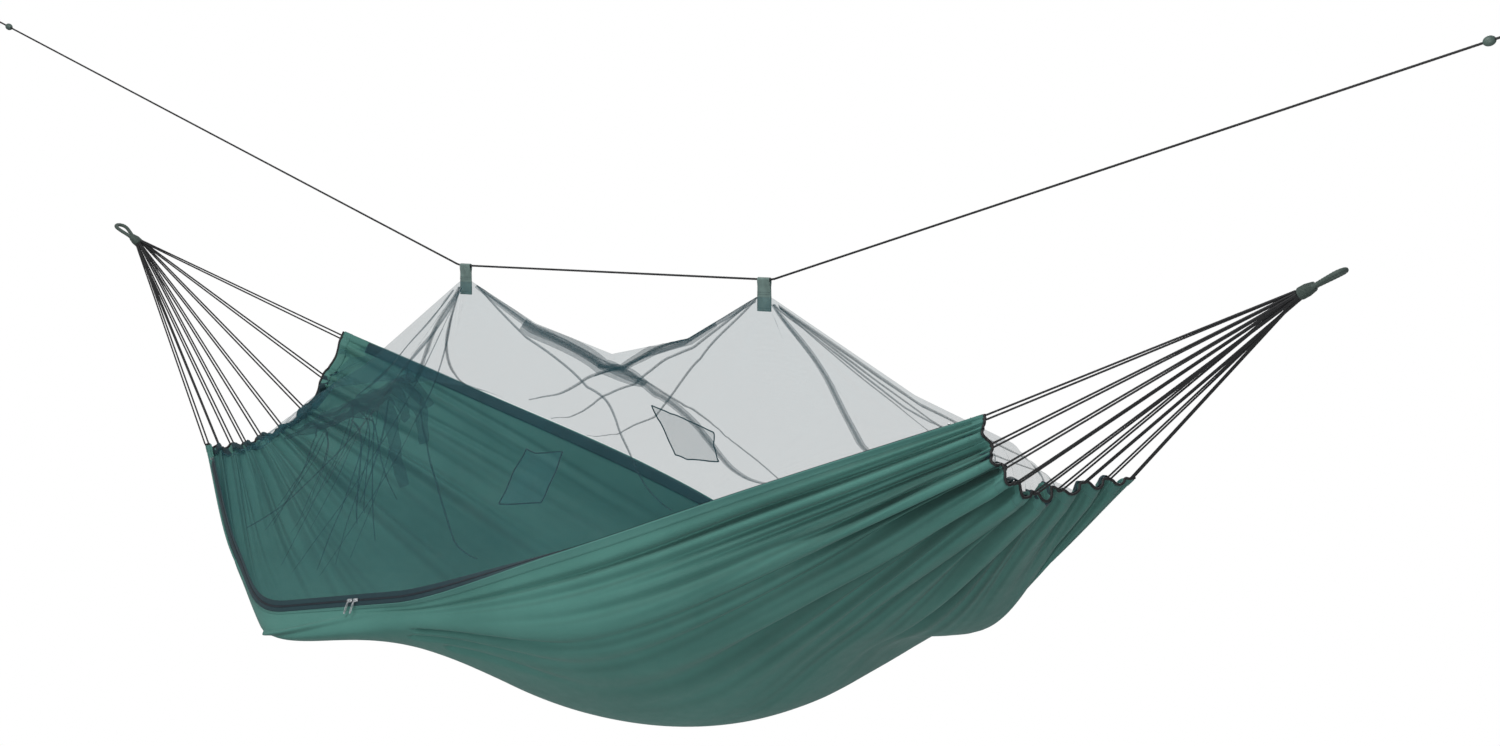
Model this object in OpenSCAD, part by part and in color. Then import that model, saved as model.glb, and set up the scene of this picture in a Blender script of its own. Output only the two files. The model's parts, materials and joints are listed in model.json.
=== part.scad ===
// Camping hammock with a sewn-in mosquito net.
// A cloth bed hangs by fans of thin cords from two rope eyes. The net is sewn to the far rim,
// zipped to the near rim, and held up by two webbing tabs on a ridge line strung above.
// Millimetres, +Z up. The origin is where the left rope eye bears on its hook, +X runs to the
// right eye, and -Y is the zipped side.

/* [Hanging] */
// Distance between the two bearing points of the rope eyes
eye_span = 3150; // [3140:10:3180]
// Height of the bearing points above the throats where the cords gather
eye_rise = 40; // [30:5:50]
// Thickness of the rope that forms each eye
eye_rope_d = 8; // [6:1:10]
// Half width of the rope eye, to the middle of the rope
eye_half_w = 13; // [10:1:18]
// Length of the binding at the root of each eye
whip_len = 30; // [20:5:35]
// Radius of the binding at its mouth
whip_r = 11; // [11:0.5:14]

/* [Suspension cords] */
// Thickness of one suspension cord
cord_d = 3; // [2:0.5:3]
// Number of cord loops at each end, two strands each
loops_per_end = 9; // [7:1:9]
// Distance between neighbouring strands where they leave the binding
strand_pitch = 3.3; // [3.2:0.1:3.6]
// Half the gap between the two strands of one loop, at the cloth
strand_spread = 4; // [3:0.5:6]
// Thickness of the rope inside each end hem
edge_rope_d = 5; // [4:0.5:6]

/* [Cloth] */
// Thickness of the bed cloth and its hems
cloth_t = 1.6; // [1:0.1:2]
// Thickness of the net
net_t = 0.8; // [0.6:0.1:1.2]
// Height of the net's sag between rim and ridge
net_sag = 25; // [0:5:40]
// Width of the tape that the net is sewn on with, across the middle of the bed
binding_w = 42; // [30:2:46]

/* [Zip] */
// Width of each zip tape
tape_w = 8; // [6:0.5:10]
// Width of the closed row of teeth
chain_w = 4; // [3:0.5:5]
// Thickness of the row of teeth
chain_t = 2.4; // [2:0.2:3]
// Length of a slider along the zip
slider_len = 12; // [9:1:14]
// Length of a pull, from its pivot to its tip
pull_len = 28; // [20:1:32]

/* [Ridge line] */
// Thickness of the ridge line
line_d = 4; // [3:0.5:4]
// Width of a webbing tab, along the line
tab_w = 33; // [25:1:38]
// Length of a webbing tab, from the line to its lower end
tab_h = 60; // [50:1:65]
// Thickness of one layer of tab webbing
web_t = 1.8; // [1.2:0.1:2]
// Length of a line adjuster
adjuster_len = 20; // [16:1:24]
// Largest radius of a line adjuster
adjuster_r = 8; // [7:0.5:10]

/* [Hidden] */
$fn = 48;

green = "#3f6f63";
dark_green = "#2f574e";
navy = "#233b4a";
net_grey = "#b9c6c8";
black = "#1d2021";
steel = "#c9ccce";

// Midpoint between the two throats. All shapes below are laid out from it.
mid = [eye_span / 2, 0, -eye_rise];
// A cord's throat is this far from the midpoint
throat_x = 1500;

// Lengthwise curves of the bed, left to right, that give it its slung shape. The left end of
// the near rim and the right end of the far rim hang low, the other two corners ride high.
near_rim_points = [
    [-1055, -165, -430], [-740, -340, -625], [-470, -440, -688], [-150, -440, -632],
    [250, -412, -498], [620, -312, -358], [970, -110, -220]
];
near_wall_points = [
    [-1050, -100, -435], [-690, -325, -680], [-480, -435, -745], [-60, -400, -700],
    [330, -350, -680], [700, -210, -500], [1000, -110, -310]
];
keel_points = [
    [-1040, -30, -420], [-760, -60, -580], [-430, -60, -710], [0, -70, -868],
    [400, 30, -846], [720, 40, -600], [1030, -40, -362]
];
far_wall_points = [
    [-990, 50, -350], [-730, 190, -470], [-400, 350, -640], [0, 410, -740],
    [430, 440, -766], [700, 335, -684], [1045, 110, -360]
];
far_rim_points = [
    [-955, 145, -185], [-660, 300, -320], [-330, 410, -446], [0, 440, -572],
    [400, 440, -656], [740, 350, -606], [1060, 240, -360]
];
// Top line of the net: left end hem, left tab, the dip between the tabs, right tab, right end
net_top_points = [
    [-1035, 0, -395], [-715, 0, -240], [-400, 0, -79], [-200, 0, -135], [10, 0, -176],
    [210, 0, -142], [400, 0, -79], [715, 45, -215], [1032, 95, -340]
];

// The near rim is straight between these two of its points, where the zip sliders run
straight_from = 2;
straight_to = 3;

// Width of the cloth across its middle
bed_w = 1200;
// Part of the bed's length that each end hem takes, and of its width that each rim hem takes
end_hem_u = 0.0125;
rim_hem_t = 0.04;
// Gaps between the cloth and its hems, as parts of the length and of the width
seam_gap = 0.0006;
seam_gap_t = 4 * seam_gap;

// ---- curves ----

function lerp(a, b, u) = a + (b - a) * u;
function unit(v) = v / norm(v);
function smooth(u) = let (x = min(max(u, 0), 1)) x * x * (3 - 2 * x);

// Curve through points p at u from 0 to 1, with a slope given at each point
function hermite(p, m, u) =
    let (n = len(p) - 1)
    let (k = min(floor(u * n), n - 1))
    let (x = u * n - k)
    p[k] * (2 * x * x * x - 3 * x * x + 1) + m[k] * (x * x * x - 2 * x * x + x)
    + p[k + 1] * (3 * x * x - 2 * x * x * x) + m[k + 1] * (x * x * x - x * x);

function slope(p, k) = (p[min(k + 1, len(p) - 1)] - p[max(k - 1, 0)])
    / (k == 0 || k == len(p) - 1 ? 1 : 2);

function spline(p, u) = hermite(p, [for (k = [0:len(p) - 1]) slope(p, k)], u);

// The near rim's curve: as spline(), but with one straight stretch
function rim_slope(p, k) = k == straight_from || k == straight_to
    ? p[straight_to] - p[straight_from] : slope(p, k);
function near_rim(u) = hermite(near_rim_points,
    [for (k = [0:len(near_rim_points) - 1]) rim_slope(near_rim_points, k)], u);

// A chain of straight stretches
function polyline(p, u) =
    let (n = len(p) - 1)
    let (k = min(floor(u * n), n - 1))
    lerp(p[k], p[k + 1], u * n - k);

// A point of the bed: u from the left end to the right, t from the near rim to the far rim
function bed(u, t) = spline([
    near_rim(u), spline(near_wall_points, u), spline(keel_points, u),
    spline(far_wall_points, u), spline(far_rim_points, u)
], t);

// Direction square to the bed, towards its inside
function bed_inward(u, t) = unit(cross(
    bed(min(u + 0.01, 1), t) - bed(max(u - 0.01, 0), t),
    bed(u, min(t + 0.01, 1)) - bed(u, max(t - 0.01, 0))));

// The zip stands up from the near rim at its left, and lies level behind the rim at its right
zip_steep = 75;
zip_flat = 5;
function zip_angle(u) = lerp(zip_steep, zip_flat, smooth((u - 0.5) / 0.2));
function zip_up(u) = [0, cos(zip_angle(u)), sin(zip_angle(u))];
function zip_row(u, height) = near_rim(u) + zip_up(u) * height;

// Heights of the zip's strips above the rim line
tape_gap = 0.5;
slider_wall = 1;
chain_low = tape_w + 2 * tape_gap;
chain_high = chain_low + chain_w;
net_tape_low = chain_high + slider_wall + 2 * tape_gap;
net_tape_high = net_tape_low + tape_w;
net_edge = net_tape_high + tape_gap;

// A point of the net: w is 0 at the near rim, 0.5 on the top line and 1 at the far rim
function net_top(u) = polyline(net_top_points, u);
function net_far(u) = spline(far_rim_points, u) + [0, -4, 3];
function net_side(w) = w < 0.5 ? 2 * w : 2 - 2 * w;
function net_tent(u, w) = lerp(w < 0.5 ? zip_row(u, net_edge) : net_far(u), net_top(u), net_side(w))
    - [0, 0, net_sag * 4 * net_side(w) * (1 - net_side(w)) * smooth(8 * min(u, 1 - u))];

// At each end of the bed the net closes down onto the inner face of the end hem
net_close_u = 0.05;
net_lift = 4;
function net_close(u) = smooth(1 - min(u, 1 - u) / net_close_u);
function net_floor(u, w) = let (t = lerp(0.05, 0.95, w)) bed(u, t) + net_lift * bed_inward(u, t);
function net(u, w) = lerp(net_tent(u, w), net_floor(u, w), net_close(u));

// ---- building blocks ----

// Direction square to a grid of points, at one of them
function grid_normal(g, i, j) = unit(cross(
    g[min(i + 1, len(g) - 1)][j] - g[max(i - 1, 0)][j],
    g[i][min(j + 1, len(g[0]) - 1)] - g[i][max(j - 1, 0)]));

// A sheet of even thickness on a grid of points
module sheet(g, thick) {
    m = len(g);
    n = len(g[0]);
    b = m * n;
    upper = [for (i = [0:m - 1], j = [0:n - 1]) g[i][j] + grid_normal(g, i, j) * thick / 2];
    lower = [for (i = [0:m - 1], j = [0:n - 1]) g[i][j] - grid_normal(g, i, j) * thick / 2];
    corners = [for (i = [0:m - 2], j = [0:n - 2]) i * n + j];
    upper_faces = [for (a = corners) each [[a, a + 1, a + n + 1], [a, a + n + 1, a + n]]];
    lower_faces = [for (a = corners) each [
        [b + a, b + a + n + 1, b + a + 1], [b + a, b + a + n, b + a + n + 1]]];
    near_faces = [for (i = [0:m - 2]) let (a = i * n) each [
        [a, a + n, b + a + n], [a, b + a + n, b + a]]];
    far_faces = [for (i = [0:m - 2]) let (a = i * n + n - 1) each [
        [a + n, a, b + a], [a + n, b + a, b + a + n]]];
    start_faces = [for (j = [0:n - 2]) each [[j + 1, j, b + j], [j + 1, b + j, b + j + 1]]];
    end_faces = [for (j = [0:n - 2]) let (a = (m - 1) * n + j) each [
        [a, a + 1, b + a + 1], [a, b + a + 1, b + a]]];
    polyhedron(concat(upper, lower),
        concat(upper_faces, lower_faces, near_faces, far_faces, start_faces, end_faces));
}

// Direction of a path at its point i
function heading(path, i) = unit(path[min(i + 1, len(path) - 1)] - path[max(i - 1, 0)]);

// A round cord along a path that never runs along side_ref
module tube(path, d, sides = 8, side_ref = [0, 1, 0]) {
    m = len(path);
    n = sides;
    rings = [for (i = [0:m - 1])
        let (h = heading(path, i), a = unit(cross(h, side_ref)), c = cross(h, a))
        for (k = [0:n - 1]) path[i] + d / 2 * (cos(360 * k / n) * a + sin(360 * k / n) * c)];
    sides_faces = [for (i = [0:m - 2], k = [0:n - 1])
        let (a = i * n + k, b = i * n + (k + 1) % n) each [[a, a + n, b + n], [a, b + n, b]]];
    start_face = [[for (k = [0:n - 1]) k]];
    end_face = [[for (k = [n - 1:-1:0]) (m - 1) * n + k]];
    polyhedron(rings, concat(sides_faces, start_face, end_face));
}

// Turns +Z to point along v
module aim(v) {
    rotate([0, acos(v[2] / norm(v)), atan2(v[1], v[0])]) children();
}

module rod(a, b, d) {
    translate(a) aim(b - a) cylinder(h = norm(b - a), d = d);
}

// ---- bed ----

long_steps = 48;
cross_steps = 16;

module bed_cloth() {
    u0 = end_hem_u + seam_gap;
    t0 = rim_hem_t + seam_gap_t;
    color(green) translate(mid) sheet([for (i = [0:long_steps]) [for (j = [0:cross_steps])
        bed(lerp(u0, 1 - u0, i / long_steps), lerp(t0, 1 - t0, j / cross_steps))]], cloth_t);
}

// A doubled strip of cloth along a rim, from one end of the bed to the other
module rim_hem(t_from, t_to) {
    color(green) translate(mid) sheet([for (i = [0:long_steps]) [for (j = [0:1])
        bed(i / long_steps, lerp(t_from, t_to, j))]], cloth_t);
}

module near_rim_hem() {
    rim_hem(0, rim_hem_t);
}

module far_rim_hem() {
    rim_hem(1 - rim_hem_t, 1);
}

// A doubled strip of cloth across an end, between the two rim hems
module end_hem(u_from, u_to) {
    t0 = rim_hem_t + seam_gap_t;
    color(dark_green) translate(mid) sheet([for (i = [0:1]) [for (j = [0:2 * cross_steps])
        bed(lerp(u_from, u_to, i), lerp(t0, 1 - t0, j / (2 * cross_steps)))]], cloth_t);
}

module left_end_hem() {
    end_hem(0, end_hem_u);
}

module right_end_hem() {
    end_hem(1 - end_hem_u, 1);
}

// ---- suspension ----

throats = [[-throat_x, 0, 0], [throat_x, 0, 0]];
// Which way each rope eye points, and where it bears on its hook
function eye_end(end) = [end == 0 ? -eye_span / 2 : eye_span / 2, 0, eye_rise];
function eye_way(end) = unit(eye_end(end) - throats[end]);

// The line of an end of the cloth, and the outward step from it to its edge rope
rope_step = edge_rope_d / 2 + 0.4;
function end_line(end, t) = bed(end, t) + rope_step * unit(throats[end] - bed(end, 0.5));

module edge_rope(end) {
    steps = 24;
    color(black) translate(mid) tube([for (j = [0:steps]) end_line(end, j / steps)],
        edge_rope_d, 8, [1, 0, 0]);
}

module left_edge_rope() {
    edge_rope(0);
}

module right_edge_rope() {
    edge_rope(1);
}

// In the binding the loops lie three deep, in columns that follow their order on the cloth.
// These are the rows of the loops at each end, chosen so that no two strands cross.
rows = 3;
strand_rows = [[1, 0, -1, 1, -1, 0, -1, 0, 1], [-1, 0, 1, 0, 1, -1, 1, 0, -1]];
function across(end) = let (v = bed(end, 1) - bed(end, 0), w = eye_way(end))
    unit(v - w * (v * w));
function strand_start(end, k, side) =
    let (a = across(end), r = cross(a, eye_way(end)), col = floor(k / rows) - 1)
    throats[end] + a * strand_pitch * (2 * col + side / 2) + r * strand_pitch * strand_rows[end][k];

function strand_end(end, k, side) =
    let (t = lerp(0.02, 0.98, k / (loops_per_end - 1)))
    let (along = unit(end_line(end, min(t + 0.02, 1)) - end_line(end, max(t - 0.02, 0))))
    end_line(end, t) + along * strand_spread * side
    + (edge_rope_d / 2 + 0.2) * unit(throats[end] - end_line(end, t));

module cords(end) {
    color(black) translate(mid) for (k = [0:loops_per_end - 1], side = [-1, 1])
        rod(strand_start(end, k, side), strand_end(end, k, side), cord_d);
}

module left_cords() {
    cords(0);
}

module right_cords() {
    cords(1);
}

// Room between the tilted ends of the strands and the binding
whip_gap = 1.2;

// The binding is a tapered barrel round the strands and the two legs of the eye
module whipping(end) {
    neck_r = 8.5;
    color(dark_green) translate(mid + throats[end] + whip_gap * eye_way(end)) aim(eye_way(end))
        rotate_extrude() polygon([[0, 0], [whip_r - 1, 0], [whip_r, 2],
            [whip_r, whip_len * 0.5], [neck_r, whip_len - 2], [neck_r - 1, whip_len],
            [0, whip_len]]);
}

module left_whipping() {
    whipping(0);
}

module right_whipping() {
    whipping(1);
}

// The rope of the eye leaves the binding as two legs that part and meet in a half circle. The
// top of the half circle's inner side is where the eye bears on its hook.
module hanging_eye(end) {
    w = eye_way(end);
    y = [0, 1, 0];
    root = throats[end] + w * (whip_len + whip_gap + 1);
    bow = eye_end(end) + w * eye_rope_d / 2 - w * eye_half_w;
    leg_y = 4.2;
    leg_steps = 6;
    bow_steps = 12;
    function leg(side, k) = let (x = k / leg_steps)
        lerp(root, bow, x) + y * side * lerp(leg_y, eye_half_w, smooth(x));
    path = concat(
        [for (k = [0:leg_steps - 1]) leg(-1, k)],
        [for (k = [0:bow_steps]) let (a = 180 * k / bow_steps)
            bow + eye_half_w * (w * sin(a) - y * cos(a))],
        [for (k = [leg_steps - 1:-1:0]) leg(1, k)]);
    color(dark_green) translate(mid) tube(path, eye_rope_d, 10, cross(w, y));
}

module left_hanging_eye() {
    hanging_eye(0);
}

module right_hanging_eye() {
    hanging_eye(1);
}

// ---- net ----

// Parts of the bed's length where the zip, and the tape along the far rim, start and end
zip_u0 = 0.03;
zip_u1 = 0.97;

module net_patch(u0, u1, w0, w1, u_steps, w_steps, thick) {
    translate(mid) sheet([for (i = [0:u_steps]) [for (j = [0:w_steps])
        net(lerp(u0, u1, i / u_steps), lerp(w0, w1, j / w_steps))]], thick);
}

net_end_u = 0.012;

module mosquito_net() {
    color(net_grey, 0.4) net_patch(net_end_u + seam_gap, 1 - net_end_u - seam_gap,
        0, 1, 48, 16, net_t);
}

// Tapes that the net's two ends are sewn into
module left_net_binding() {
    color(navy) net_patch(0, net_end_u, 0.02, 0.98, 1, 16, net_t);
}

module right_net_binding() {
    color(navy) net_patch(1 - net_end_u, 1, 0.02, 0.98, 1, 16, net_t);
}

// Tape on the inner face of the far rim, where the net is sewn on
module far_net_binding() {
    inset = cloth_t / 2 + net_t;
    upper_t = 0.996;
    lower_t = upper_t - binding_w / bed_w;
    color(navy) translate(mid) sheet([for (i = [0:long_steps])
        let (u = lerp(zip_u0, zip_u1, i / long_steps))
        [for (t = [lower_t, upper_t]) bed(u, t) + inset * bed_inward(u, t)]], net_t);
}

// Small net pockets sewn to the inner side of the net: the left one on the near panel and the
// right one on the far panel. The inner side of the near panel faces +Y and down.
module gear_pocket(u_mid, w_mid) {
    half_u = 0.03;
    half_w = 0.06;
    inward = 4;
    droop = 3;
    color(net_grey, 0.6) translate([0, w_mid < 0.5 ? inward : -inward, -droop])
        net_patch(u_mid - half_u, u_mid + half_u, w_mid - half_w, w_mid + half_w, 6, 4, net_t);
}

module gear_pocket_left() {
    gear_pocket(0.53, 0.25);
}

module gear_pocket_right() {
    gear_pocket(0.525, 0.71);
}

// ---- zip ----

module zip_strip(low, high, thick) {
    steps = 2 * long_steps;
    translate(mid) sheet([for (i = [0:steps]) let (u = lerp(zip_u0, zip_u1, i / steps))
        [zip_row(u, low), zip_row(u, high)]], thick);
}

module zip_tape_bed() {
    color(navy) zip_strip(tape_gap + cloth_t / 2, tape_w, 1);
}

module zip_tape_net() {
    color(navy) zip_strip(net_tape_low, net_tape_high, 1);
}

module zip_chain() {
    color(black) zip_strip(chain_low, chain_high, chain_t);
}

// A point of the straight stretch of the zip, by its distance from the midpoint along X
straight_a = near_rim_points[straight_from];
straight_b = near_rim_points[straight_to];
zip_way = unit(straight_b - straight_a);
zip_lift = [0, cos(zip_steep), sin(zip_steep)];
zip_rise = unit(zip_lift - zip_way * (zip_lift * zip_way));
zip_face = cross(zip_way, zip_rise);
function zip_at(x) = lerp(straight_a, straight_b,
    (x - straight_a[0]) / (straight_b[0] - straight_a[0]));

// Local frame of a slider: X back along the zip, Y out from the zip's outer face, Z up the tape
module on_zip(x) {
    o = mid + zip_at(x);
    multmatrix([
        [-zip_way[0], zip_face[0], zip_rise[0], o[0]],
        [-zip_way[1], zip_face[1], zip_rise[1], o[1]],
        [-zip_way[2], zip_face[2], zip_rise[2], o[2]],
        [0, 0, 0, 1]]) children();
}

// Two stops that crimp over the ends of the row of teeth
module zip_stops() {
    size = [3, 4.5, 5];
    for (u = [zip_u0 - 0.004, zip_u1 + 0.004])
        color(steel) translate(mid + zip_row(u, (chain_low + chain_high) / 2))
            cube(size, center = true);
}

// Places of the two sliders along X, nearly touching
slider_left_x = -273;
slider_right_x = -256;
// Clearance round the teeth, thickness of the plates, and room under the bail
play = 0.4;
plate_t = 1.2;
bail_room = 3.4;
// How far the plates reach down over the tape
tape_lap = 1.5;
plate_gap = chain_t + 2 * play;
bail_y = plate_gap / 2 + plate_t + bail_room;
slider_low = chain_low - tape_lap;
slider_high = chain_high + play + slider_wall;
slider_mid = (slider_low + slider_high) / 2;

// Two plates round the teeth, a wall over them, and a bail on the outer plate for the pull
module zip_slider(x) {
    bail_d = 1.2;
    bail_half = 3.2;
    color(steel) on_zip(x) {
        for (side = [-1, 1])
            translate([-slider_len / 2, side * (plate_gap + plate_t) / 2 - plate_t / 2, slider_low])
                cube([slider_len, plate_t, slider_high - slider_low]);
        translate([-slider_len / 2, -plate_gap / 2 - plate_t / 2, chain_high + play])
            cube([slider_len, plate_gap + plate_t, slider_wall]);
        for (side = [-1, 1])
            translate([side * bail_half, (plate_gap + plate_t) / 2, slider_mid])
                rotate([-90, 0, 0]) cylinder(h = bail_y - plate_gap / 2 - plate_t / 2, d = bail_d);
        translate([-bail_half - bail_d / 2, bail_y, slider_mid])
            rotate([0, 90, 0]) cylinder(h = 2 * bail_half + bail_d, d = bail_d);
    }
}

module zip_slider_left() {
    zip_slider(slider_left_x);
}

module zip_slider_right() {
    zip_slider(slider_right_x);
}

// Place of a bail's middle, where its pull pivots
function bail_at(x) = mid + zip_at(x) + zip_face * bail_y + zip_rise * slider_mid;

// How far the pull leans out at rest, where the swell of the cloth below the rim props it
pull_lean = 24;

// A slim slotted tab with an eye round the bail. Its flat face looks out from the zip.
module zip_pull(x) {
    eye_r = 0.85;
    rim_r = 2.2;
    thick = 1.6;
    pull_w = 5;
    slot_w = 2;
    neck = 1.6;
    shoulder = 8;
    tip = pull_len - rim_r - pull_w / 2;
    turn = atan2(-zip_way[2], zip_way[0]);
    color(steel) translate(bail_at(x)) rotate(-pull_lean, zip_way) {
        rotate([0, turn + 90, 0]) difference() {
            cylinder(h = thick, r = rim_r, center = true);
            cylinder(h = thick + 1, r = eye_r, center = true);
        }
        translate([0, -thick / 2, -neck]) rotate([-90, 0, 0]) linear_extrude(thick) difference() {
            hull() {
                translate([0, 1]) circle(d = 2.4);
                translate([0, shoulder]) circle(d = pull_w);
                translate([0, tip]) circle(d = pull_w);
            }
            hull() {
                translate([0, shoulder]) circle(d = slot_w);
                translate([0, tip]) circle(d = slot_w);
            }
        }
    }
}

module zip_pull_left() {
    zip_pull(slider_left_x);
}

module zip_pull_right() {
    zip_pull(slider_right_x);
}

// ---- ridge line ----

// Places of the tabs along X and height of the line between them, and the slope of the line past
// each tab and where it ends
tab_x = 400;
line_z = -16;
left_rise = 0.338;
right_rise = 0.295;
left_end_x = -2050;
right_end_x = 1845;
left_adjuster_x = -2002;
right_adjuster_x = 1805;
// The line bends just outside each tab, over a stretch this long to each side of the bend
bend = tab_w / 2 + 2;
bend_half = 6;
function line_left(x) = [x, 0, line_z + left_rise * (-tab_x - bend - x)];
function line_right(x) = [x, 0, line_z + right_rise * (x - tab_x - bend)];

// Route of the line: straight to each tab, level through it and between the two
line_route = [
    line_left(left_end_x), line_left(-1500), line_left(-900), line_left(-tab_x - bend - bend_half),
    [-tab_x - bend + bend_half, 0, line_z], [-150, 0, line_z], [150, 0, line_z],
    [tab_x + bend - bend_half, 0, line_z], line_right(tab_x + bend + bend_half), line_right(900),
    line_right(1400), line_right(right_end_x)
];

module ridge_line() {
    color(black) translate(mid) tube(line_route, line_d, 8);
}

// A loop of the line that goes round a branch or a hook
module line_eye(tip_way, root) {
    eye_len = 70;
    half = 9;
    bow_steps = 12;
    y = [0, 1, 0];
    leg = line_d / 2 + 0.2;
    bow = root + tip_way * (eye_len - half);
    path = concat(
        [for (k = [0:4]) lerp(root, bow, k / 5) - y * lerp(leg, half, smooth(k / 5))],
        [for (k = [0:bow_steps]) let (a = 180 * k / bow_steps)
            bow + half * (tip_way * sin(a) - y * cos(a))],
        [for (k = [4:-1:0]) lerp(root, bow, k / 5) + y * lerp(leg, half, smooth(k / 5))]);
    color(black) translate(mid) tube(path, line_d, 8, cross(tip_way, y));
}

// Gap between the cut end of the line and its end loop
eye_gap = 0.5;
left_line_way = unit(line_left(-1500) - line_left(-900));
right_line_way = unit(line_right(1400) - line_right(900));

module left_line_eye() {
    line_eye(left_line_way, line_left(left_end_x) + left_line_way * eye_gap);
}

module right_line_eye() {
    line_eye(right_line_way, line_right(right_end_x) + right_line_way * eye_gap);
}

// An oval bead that grips the line and slides along it
module line_adjuster(place, way) {
    bore_r = line_d / 2 + 0.3;
    // The oval is a little longer than the bead, whose two ends are cut flat
    crown = 1.08;
    color(dark_green) translate(mid + place) aim(way) rotate_extrude() difference() {
        intersection() {
            scale([adjuster_r, adjuster_len / 2 * crown]) circle(r = 1);
            translate([0, -adjuster_len / 2]) square([adjuster_r, adjuster_len]);
        }
        translate([0, -adjuster_len]) square([bore_r, 2 * adjuster_len]);
    }
}

module left_line_adjuster() {
    line_adjuster(line_left(left_adjuster_x), left_line_way);
}

module right_line_adjuster() {
    line_adjuster(line_right(right_adjuster_x), right_line_way);
}

// A strip of webbing folded over the line, its two layers stitched together below
module ridge_tab(x) {
    ring_r = line_d / 2 + 0.5;
    color(dark_green) translate(mid + [x - tab_w / 2, 0, line_z]) rotate([90, 0, 90])
        linear_extrude(tab_w) difference() {
            union() {
                circle(r = ring_r + web_t);
                translate([-web_t, -tab_h]) square([2 * web_t, tab_h]);
            }
            circle(r = ring_r);
        }
}

module left_ridge_tab() {
    ridge_tab(-tab_x);
}

module right_ridge_tab() {
    ridge_tab(tab_x);
}

bed_cloth();
near_rim_hem();
far_rim_hem();
left_end_hem();
right_end_hem();
left_edge_rope();
right_edge_rope();
left_cords();
right_cords();
left_whipping();
right_whipping();
left_hanging_eye();
right_hanging_eye();
mosquito_net();
far_net_binding();
left_net_binding();
right_net_binding();
zip_tape_bed();
zip_tape_net();
zip_chain();
zip_stops();
zip_slider_left();
zip_slider_right();
zip_pull_left();
zip_pull_right();
gear_pocket_left();
gear_pocket_right();
left_ridge_tab();
right_ridge_tab();
ridge_line();
left_line_eye();
right_line_eye();
left_line_adjuster();
right_line_adjuster();
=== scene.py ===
"""The looks of a camping hammock with a sewn-in mosquito net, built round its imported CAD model.

Everything is in metres. Shapes are laid out, as in the CAD source, from the midpoint between the
two throats where the suspension cords gather: +X to the right eye, -Y to the zipped side, +Z up.
"""
import json
import math

import bpy
import numpy as np
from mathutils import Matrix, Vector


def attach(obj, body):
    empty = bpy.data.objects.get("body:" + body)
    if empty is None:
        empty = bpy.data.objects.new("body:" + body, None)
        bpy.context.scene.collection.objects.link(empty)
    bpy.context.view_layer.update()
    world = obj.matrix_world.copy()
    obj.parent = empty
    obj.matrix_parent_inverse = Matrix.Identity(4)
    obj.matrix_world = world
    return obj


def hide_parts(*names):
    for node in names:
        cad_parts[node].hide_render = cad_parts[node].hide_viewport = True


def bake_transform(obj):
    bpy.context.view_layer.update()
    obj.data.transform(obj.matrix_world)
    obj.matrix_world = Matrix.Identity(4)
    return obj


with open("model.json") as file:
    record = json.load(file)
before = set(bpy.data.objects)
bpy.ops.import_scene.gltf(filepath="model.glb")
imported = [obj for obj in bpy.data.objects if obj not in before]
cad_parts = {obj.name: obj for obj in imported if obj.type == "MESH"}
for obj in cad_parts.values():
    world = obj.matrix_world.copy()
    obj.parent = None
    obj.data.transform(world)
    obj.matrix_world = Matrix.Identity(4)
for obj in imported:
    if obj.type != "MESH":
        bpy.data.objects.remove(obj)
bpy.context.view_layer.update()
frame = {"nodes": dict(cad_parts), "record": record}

FINE = 1.0
MID = np.array([1.575, 0.0, -0.040])
UP = np.array([0.0, 0.0, 1.0])
BACK = np.array([0.0, 1.0, 0.0])
BED_LENGTH = 2.30
BED_WIDTH = 1.20
BED_GRID = (620, 320)
CLOTH_T = 0.0012
NET_WIDTH = 1.30
NET_GRID = (420, 260)
CAMERA_AT, CAMERA_DOWN, CAMERA_TURN = (4.935, -3.62, 0.21), 5.4, 39.6
FLOOR_REACH, FLOOR_Z = 40, -2.1
# Name, place, aim, size, power and colour of each soft lamp
LAMPS = (
    ("key", (1.7, -2.8, 3.2), (1.8, 0, -0.6), 1.6, 135, (1.0, 0.98, 0.95)),
    ("fill", (4.0, -4.0, -1.2), (1.9, 0, -0.7), 3.0, 120, (0.97, 0.99, 1.0)),
    ("back", (0.8, 4.2, 0.8), (1.6, 0, -0.7), 3.0, 110, (0.98, 0.99, 1.0)),
)


# ---- camera, floor and light ----

def add_camera():
    """A 60 mm lens in front and to the right, a little above the bed, looking slightly down."""
    data = bpy.data.cameras.new("camera")
    data.lens = 60
    data.sensor_width = 36
    camera = bpy.data.objects.new("camera", data)
    camera.location = CAMERA_AT
    camera.rotation_euler = (math.radians(90 - CAMERA_DOWN), 0, math.radians(CAMERA_TURN))
    bpy.context.scene.collection.objects.link(camera)
    bpy.context.scene.camera = camera


def add_light(name, place, aim, size, power, colour):
    data = bpy.data.lights.new(name, "AREA")
    data.size = size
    data.energy = power
    data.color = colour
    light = bpy.data.objects.new(name, data)
    light.location = place
    direction = Vector(aim) - Vector(place)
    light.rotation_euler = direction.to_track_quat("-Z", "Y").to_euler()
    bpy.context.scene.collection.objects.link(light)


def white_to_the_eye(tree, dim, bright):
    """Mixes two shaders so that what lights the hammock is dim, but the backdrop looks white."""
    path = tree.nodes.new("ShaderNodeLightPath")
    mix = tree.nodes.new("ShaderNodeMixShader")
    tree.links.new(path.outputs["Is Camera Ray"], mix.inputs["Fac"])
    tree.links.new(dim, mix.inputs[1])
    tree.links.new(bright, mix.inputs[2])
    return mix.outputs[0]


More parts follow.
